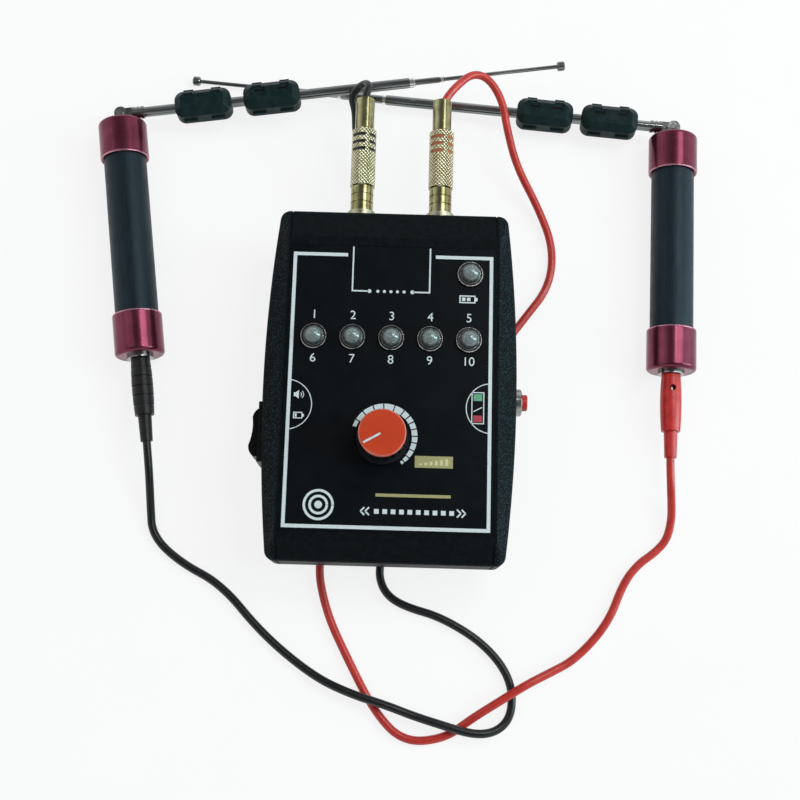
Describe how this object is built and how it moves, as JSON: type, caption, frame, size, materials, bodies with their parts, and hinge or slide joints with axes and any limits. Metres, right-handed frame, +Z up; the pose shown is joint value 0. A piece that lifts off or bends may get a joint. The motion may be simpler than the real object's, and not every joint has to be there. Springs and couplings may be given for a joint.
{
  "type": "long range metal detector",
  "caption": "Handheld long range metal detector: barrel-sided case with lamps and a tuning knob, wired by leads to tubular handles with folding telescopic antennas and clip-on ferrites.",
  "frame": {"origin": "centre of the box of the rigid pieces, on the surface that the detector lies on", "axes": "+X to the right across both handles, +Y from the case towards its plugs, +Z up from the surface"},
  "size_m": [0.2602, 0.2893, 0.0546],
  "materials": {
    "case_plastic": "fine-grained black",
    "label_print": "printed satin sheet",
    "black_rubber": "matt",
    "screw_steel": "plated",
    "board_green": "lacquered",
    "lamp_lens": "clear moulded lens",
    "lamp_holder": "bright",
    "plated_metal": "nickel plated",
    "knob_red": "satin orange-red",
    "knob_black": "moulded",
    "switch_black": "moulded",
    "button_red": "moulded",
    "pale_gold": "gold plated",
    "lead_black": "glossy jacket",
    "lead_red": "glossy jacket",
    "sleeve_black": "moulded",
    "sleeve_red": "moulded",
    "maroon_metal": "anodised maroon",
    "grip_black": "satin blue-black",
    "antenna_chrome": "polished",
    "ferrite_black": "satin",
    "battery_wrap": "plain wrap"
  },
  "bodies": {
    "case": {"upper_case": "case_plastic", "lower_case": "case_plastic", "front_label": "label_print", "case_screws": "screw_steel", "rubber_feet": "black_rubber", "circuit_board": "board_green", "indicator_leds": "lamp_lens", "led_bezels": "lamp_holder", "pot_body": "plated_metal", "pot_nut": "plated_metal", "rocker_frame": "switch_black", "button_bush": "plated_metal", "jack_sockets": "pale_gold", "battery": "battery_wrap", "battery_snap": "sleeve_black", "buzzer": "sleeve_black", "gold_plug_body_left": "pale_gold", "gold_plug_body_right": "pale_gold", "gold_plug_shell_left": "pale_gold", "gold_plug_shell_right": "pale_gold", "black_lead": "lead_black", "red_lead": "lead_red", "banana_sleeve_left": "sleeve_black", "banana_sleeve_right": "sleeve_red", "banana_pin_left": "plated_metal", "banana_pin_right": "plated_metal"},
    "knob": {"knob_cap": "knob_red", "knob_skirt": "knob_black", "pot_shaft": "plated_metal"},
    "rocker": {"rocker": "switch_black"},
    "push_button": {"button_cap": "button_red"},
    "battery_door": {"battery_door": "case_plastic"},
    "left_handle": {"grip_sleeve_left": "grip_black", "handle_top_cap_left": "maroon_metal", "handle_bottom_cap_left": "maroon_metal", "banana_socket_left": "plated_metal", "antenna_clevis_left": "antenna_chrome", "hinge_pin_left": "antenna_chrome"},
    "left_antenna": {"antenna_tube_left": "antenna_chrome", "ferrite_bases_left": "ferrite_black"},
    "left_second_section": {"antenna_second_section_left": "antenna_chrome"},
    "left_third_section": {"antenna_third_section_left": "antenna_chrome"},
    "left_tip": {"antenna_tip_left": "antenna_chrome"},
    "left_ferrite_lid_1": {"ferrite_lid_1_left": "ferrite_black"},
    "left_ferrite_lid_2": {"ferrite_lid_2_left": "ferrite_black"},
    "right_handle": {"grip_sleeve_right": "grip_black", "handle_top_cap_right": "maroon_metal", "handle_bottom_cap_right": "maroon_metal", "banana_socket_right": "plated_metal", "antenna_clevis_right": "antenna_chrome", "hinge_pin_right": "antenna_chrome"},
    "right_antenna": {"antenna_tube_right": "antenna_chrome", "ferrite_bases_right": "ferrite_black"},
    "right_second_section": {"antenna_second_section_right": "antenna_chrome"},
    "right_third_section": {"antenna_third_section_right": "antenna_chrome"},
    "right_tip": {"antenna_tip_right": "antenna_chrome"},
    "right_ferrite_lid_1": {"ferrite_lid_1_right": "ferrite_black"},
    "right_ferrite_lid_2": {"ferrite_lid_2_right": "ferrite_black"}
  },
  "joints": [
    {"name": "knob_turn", "type": "hinge", "parent": "case", "child": "knob", "pos_m": [-0.0022, -0.0628, 0], "axis": [0, 0, -1], "range_deg": [-10, 260]},
    {"name": "rocker_tilt", "type": "hinge", "parent": "case", "child": "rocker", "pos_m": [-0.04954, -0.0599, 0.0255], "axis": [0, 0, 1], "range_deg": [0, 12]},
    {"name": "button_press", "type": "slide", "parent": "case", "child": "push_button", "axis": [-1, 0, 0], "range_m": [0, 0.002], "stiffness_N_per_m": 600, "springref_m": -0.001},
    {"name": "battery_door_slide", "type": "slide", "parent": "case", "child": "battery_door", "axis": [0, -1, 0], "range_m": [0, 0.034]},
    {"name": "left_handle_pull", "type": "slide", "parent": "case", "child": "left_handle", "axis": [-0.1461, 0.9893, 0], "range_m": [0, 0.02]},
    {"name": "left_antenna_fold", "type": "hinge", "parent": "left_handle", "child": "left_antenna", "pos_m": [-0.12078, 0.08294, 0.0103], "axis": [-0.0356, -0.0053, 0.9994], "range_deg": [0, 180]},
    {"name": "left_second_section_slide", "type": "slide", "parent": "left_antenna", "child": "left_second_section", "axis": [0.9908, 0.1304, 0.0359], "range_m": [0, 0.095]},
    {"name": "left_third_section_slide", "type": "slide", "parent": "left_second_section", "child": "left_third_section", "axis": [0.9908, 0.1304, 0.0359], "range_m": [-0.0115, 0.082]},
    {"name": "left_tip_slide", "type": "slide", "parent": "left_third_section", "child": "left_tip", "axis": [0.9908, 0.1304, 0.0359], "range_m": [-0.049, 0.0455]},
    {"name": "left_ferrite_lid_1_open", "type": "hinge", "parent": "left_antenna", "child": "left_ferrite_lid_1", "pos_m": [-0.08413, 0.08172, 0.0116], "axis": [0.9908, 0.1304, 0.0359], "range_deg": [0, 120]},
    {"name": "left_ferrite_lid_2_open", "type": "hinge", "parent": "left_antenna", "child": "left_ferrite_lid_2", "pos_m": [-0.05441, 0.08563, 0.01268], "axis": [0.9908, 0.1304, 0.0359], "range_deg": [0, 120]},
    {"name": "right_handle_pull", "type": "slide", "parent": "case", "child": "right_handle", "axis": [0.0279, 0.9996, 0], "range_m": [0, 0.02]},
    {"name": "right_antenna_fold", "type": "hinge", "parent": "right_handle", "child": "right_antenna", "pos_m": [0.11998, 0.0836, 0.0103], "axis": [0.0379, -0.0011, -0.9993], "range_deg": [0, 180]},
    {"name": "right_second_section_slide", "type": "slide", "parent": "right_antenna", "child": "right_second_section", "axis": [-0.9947, 0.0958, -0.0379], "range_m": [-0.019, 0.076]},
    {"name": "right_third_section_slide", "type": "slide", "parent": "right_second_section", "child": "right_third_section", "axis": [-0.9947, 0.0958, -0.0379], "range_m": [-0.032, 0.0615]},
    {"name": "right_tip_slide", "type": "slide", "parent": "right_third_section", "child": "right_tip", "axis": [-0.9947, 0.0958, -0.0379], "range_m": [-0.0285, 0.066]},
    {"name": "right_ferrite_lid_1_open", "type": "hinge", "parent": "right_antenna", "child": "right_ferrite_lid_1", "pos_m": [0.09156, 0.08031, 0.00922], "axis": [0.9947, -0.0958, 0.0379], "range_deg": [0, 120]},
    {"name": "right_ferrite_lid_2_open", "type": "hinge", "parent": "right_antenna", "child": "right_ferrite_lid_2", "pos_m": [0.06351, 0.08301, 0.00816], "axis": [0.9947, -0.0958, 0.0379], "range_deg": [0, 120]}
  ]
}
